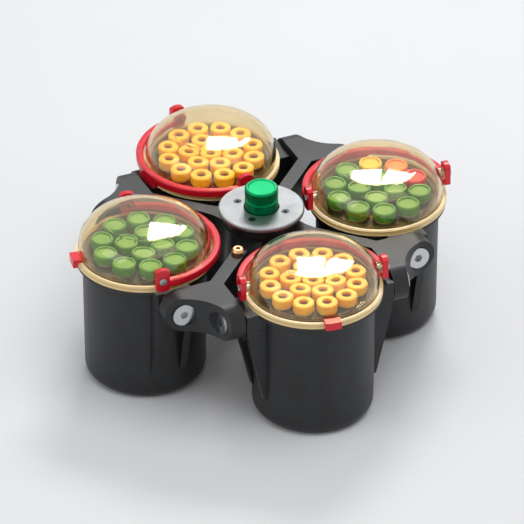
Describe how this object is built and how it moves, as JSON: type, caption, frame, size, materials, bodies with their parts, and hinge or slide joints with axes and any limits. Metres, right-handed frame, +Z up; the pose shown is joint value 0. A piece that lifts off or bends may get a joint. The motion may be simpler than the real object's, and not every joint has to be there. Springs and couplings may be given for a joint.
{
  "type": "swing-out centrifuge rotor",
  "caption": "Swing-out centrifuge rotor: a black cross with round buckets on trunnion pins, capped tubes, clear amber domed lids with red bails and a green release button.",
  "frame": {"origin": "centre of the drive bore's mouth, in the hub's bottom face", "axes": "+Z up the spin axis; buckets on +X, +Y, -X and -Y, the cross's arms on the diagonals"},
  "size_m": [0.2787, 0.2788, 0.1245],
  "materials": {
    "hard_anodised_black": "hard anodised, matt",
    "ground_steel": "ground",
    "machined_steel": "turned",
    "screw_steel": "zinc plated",
    "clear_anodised_aluminium": "turned and anodised",
    "dark_steel": "blackened",
    "brass_screw": "passivated",
    "green_anodised_aluminium": "anodised, glossy",
    "spring_steel": "drawn wire",
    "black_bucket": "moulded, fine grain",
    "dark_nylon": "moulded",
    "tube_plastic": "clear moulded",
    "green_stopper": "moulded",
    "red_stopper": "moulded",
    "green_cap": "moulded",
    "yellow_cap": "moulded",
    "seal_rubber": "moulded",
    "clear_amber_lid": "moulded, clear tinted",
    "red_plastic": "moulded"
  },
  "bodies": {
    "rotor": {"hub_body": "hard_anodised_black", "rotor_arms": "hard_anodised_black", "trunnion_pins": "ground_steel", "drive_sleeve": "machined_steel", "plunger_guide": "machined_steel", "sleeve_screws": "screw_steel", "hub_disc": "clear_anodised_aluminium", "disc_screws": "dark_steel", "balance_plug": "brass_screw", "return_spring": "spring_steel", "spring_washer": "machined_steel"},
    "button": {"release_button": "green_anodised_aluminium", "release_plunger": "ground_steel"},
    "bucket_body_1": {"bucket_1": "black_bucket", "adapter_1": "dark_nylon", "tubes_1": "tube_plastic", "stoppers_1": "green_stopper", "caps_1": "green_cap"},
    "lid_body_1": {"lid_dome_1": "clear_amber_lid", "lid_seal_1": "seal_rubber", "bail_pins_1": "ground_steel"},
    "bail_body_1": {"bail_1": "red_plastic"},
    "bucket_body_2": {"bucket_2": "black_bucket", "adapter_2": "dark_nylon", "tubes_2": "tube_plastic", "stoppers_2": "red_stopper", "caps_2": "yellow_cap"},
    "lid_body_2": {"lid_dome_2": "clear_amber_lid", "lid_seal_2": "seal_rubber", "bail_pins_2": "ground_steel"},
    "bail_body_2": {"bail_2": "red_plastic"},
    "bucket_body_3": {"bucket_3": "black_bucket", "adapter_3": "dark_nylon", "tubes_3": "tube_plastic", "stoppers_3": "green_stopper", "caps_3": "green_cap"},
    "lid_body_3": {"lid_dome_3": "clear_amber_lid", "lid_seal_3": "seal_rubber", "bail_pins_3": "ground_steel", "lid_tab_3": "red_plastic"},
    "bail_body_3": {"bail_3": "red_plastic"},
    "bucket_body_4": {"bucket_4": "black_bucket", "adapter_4": "dark_nylon", "tubes_4": "tube_plastic", "stoppers_4": "red_stopper", "caps_4": "yellow_cap"},
    "lid_body_4": {"lid_dome_4": "clear_amber_lid", "lid_seal_4": "seal_rubber", "bail_pins_4": "ground_steel", "lid_tab_4": "red_plastic"},
    "bail_body_4": {"bail_4": "red_plastic"}
  },
  "joints": [
    {"name": "bucket_1_swing", "type": "hinge", "parent": "rotor", "child": "bucket_body_1", "pos_m": [0.087, 0, 0.022], "axis": [0, -1, 0], "range_deg": [0, 90]},
    {"name": "lid_1_lift", "type": "slide", "parent": "bucket_body_1", "child": "lid_body_1", "axis": [0, 0, -1], "range_m": [-0.045, 0]},
    {"name": "bail_1_fold", "type": "hinge", "parent": "lid_body_1", "child": "bail_body_1", "pos_m": [0.087, 0, 0.041], "axis": [-0.9962, 0.0872, 0], "range_deg": [-95, 0]},
    {"name": "bucket_2_swing", "type": "hinge", "parent": "rotor", "child": "bucket_body_2", "pos_m": [0, 0.087, 0.022], "axis": [1, 0, 0], "range_deg": [0, 90]},
    {"name": "lid_2_lift", "type": "slide", "parent": "bucket_body_2", "child": "lid_body_2", "axis": [0, 0, -1], "range_m": [-0.045, 0]},
    {"name": "bail_2_fold", "type": "hinge", "parent": "lid_body_2", "child": "bail_body_2", "pos_m": [0, 0.087, 0.041], "axis": [0.0872, -0.9962, 0], "range_deg": [-95, 0]},
    {"name": "bucket_3_swing", "type": "hinge", "parent": "rotor", "child": "bucket_body_3", "pos_m": [-0.087, 0, 0.022], "axis": [0, 1, 0], "range_deg": [0, 90]},
    {"name": "lid_3_lift", "type": "slide", "parent": "bucket_body_3", "child": "lid_body_3", "axis": [0, 0, -1], "range_m": [-0.045, 0]},
    {"name": "bail_3_fold", "type": "hinge", "parent": "lid_body_3", "child": "bail_body_3", "pos_m": [-0.087, 0, 0.041], "axis": [0.1564, 0.9877, 0], "range_deg": [-95, 0]},
    {"name": "bucket_4_swing", "type": "hinge", "parent": "rotor", "child": "bucket_body_4", "pos_m": [0, -0.087, 0.022], "axis": [-1, 0, 0], "range_deg": [0, 90]},
    {"name": "lid_4_lift", "type": "slide", "parent": "bucket_body_4", "child": "lid_body_4", "axis": [0, 0, -1], "range_m": [-0.045, 0]},
    {"name": "bail_4_fold", "type": "hinge", "parent": "lid_body_4", "child": "bail_body_4", "pos_m": [0, -0.087, 0.041], "axis": [-0.9903, 0.1392, 0], "range_deg": [-95, 0]},
    {"name": "button_press", "type": "slide", "parent": "rotor", "child": "button", "axis": [0, 0, 1], "range_m": [-0.004, 0], "stiffness_N_per_m": 2000, "springref_m": 0.002, "deforming": ["return_spring"]}
  ]
}
